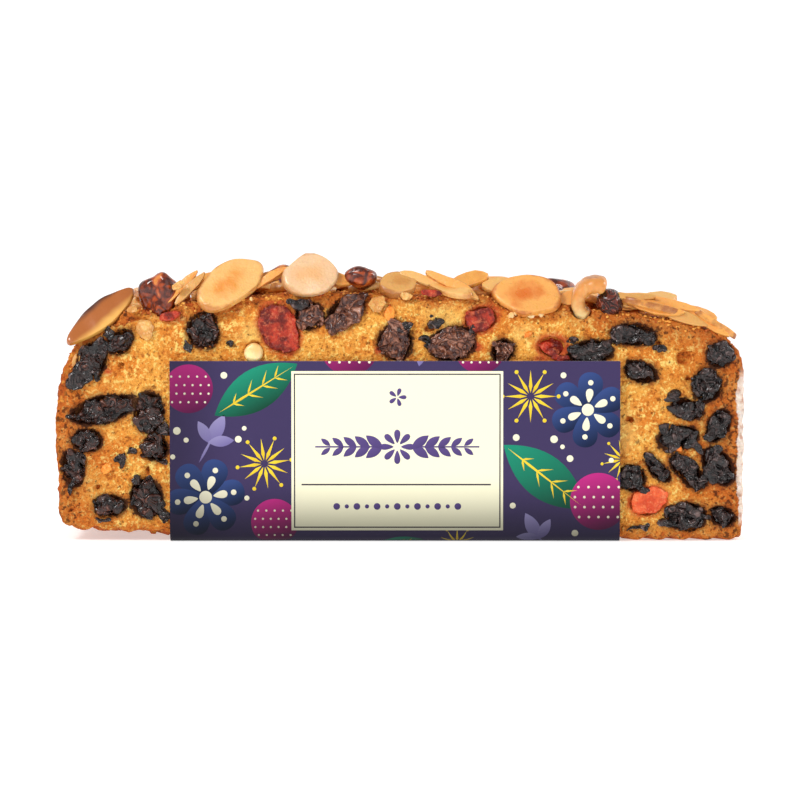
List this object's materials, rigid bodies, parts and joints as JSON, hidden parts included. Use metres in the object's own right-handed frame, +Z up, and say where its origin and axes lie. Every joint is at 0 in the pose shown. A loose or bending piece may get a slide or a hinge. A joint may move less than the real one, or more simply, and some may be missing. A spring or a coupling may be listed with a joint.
{
  "type": "fruit cake slice",
  "caption": "Slab slice of fruit and nut cake with a domed almond and pecan top, its cut face set with raisins and cherries, in a U-shaped printed card sleeve.",
  "frame": {"origin": "middle of the footprint, on the surface that the sleeve's base lies on", "axes": "+X along the slice to the right of the shown cut face, -Y out of that cut face, +Z up"},
  "size_m": [0.1644, 0.0501, 0.0684],
  "materials": {
    "sponge": "crumbly",
    "printed_card": "silk",
    "raisin": "moist",
    "cherry": "moist",
    "almond": "satin",
    "pecan": "glazed",
    "hazelnut": "satin",
    "caramel": "glazed"
  },
  "bodies": {
    "root": {"cake": "sponge", "sleeve": "printed_card", "hazelnut_half": "hazelnut", "almond_curl": "almond", "caramel_kernel": "caramel", "almond_01": "almond", "almond_02": "almond", "almond_03": "almond", "almond_04": "almond", "almond_05": "almond", "almond_06": "almond", "almond_07": "almond", "almond_08": "almond", "almond_09": "almond", "almond_10": "almond", "almond_11": "almond", "almond_12": "almond", "almond_13": "almond", "almond_14": "almond", "almond_15": "almond", "almond_16": "almond", "almond_17": "almond", "almond_18": "almond", "pecan_1": "pecan", "pecan_2": "pecan", "pecan_3": "pecan", "pecan_4": "pecan", "cherry_1": "cherry", "cherry_2": "cherry", "cherry_3": "cherry", "cherry_4": "cherry", "raisin_01": "raisin", "raisin_02": "raisin", "raisin_03": "raisin", "raisin_04": "raisin", "raisin_05": "raisin", "raisin_06": "raisin", "raisin_07": "raisin", "raisin_08": "raisin", "raisin_09": "raisin", "raisin_10": "raisin", "raisin_11": "raisin", "raisin_12": "raisin", "raisin_13": "raisin", "raisin_14": "raisin", "raisin_15": "raisin", "raisin_16": "raisin", "raisin_17": "raisin", "raisin_18": "raisin", "raisin_19": "raisin", "raisin_20": "raisin", "raisin_21": "raisin", "raisin_22": "raisin", "raisin_23": "raisin", "raisin_24": "raisin", "raisin_25": "raisin", "raisin_26": "raisin", "raisin_27": "raisin", "raisin_28": "raisin", "raisin_29": "raisin"}
  },
  "joints": []
}
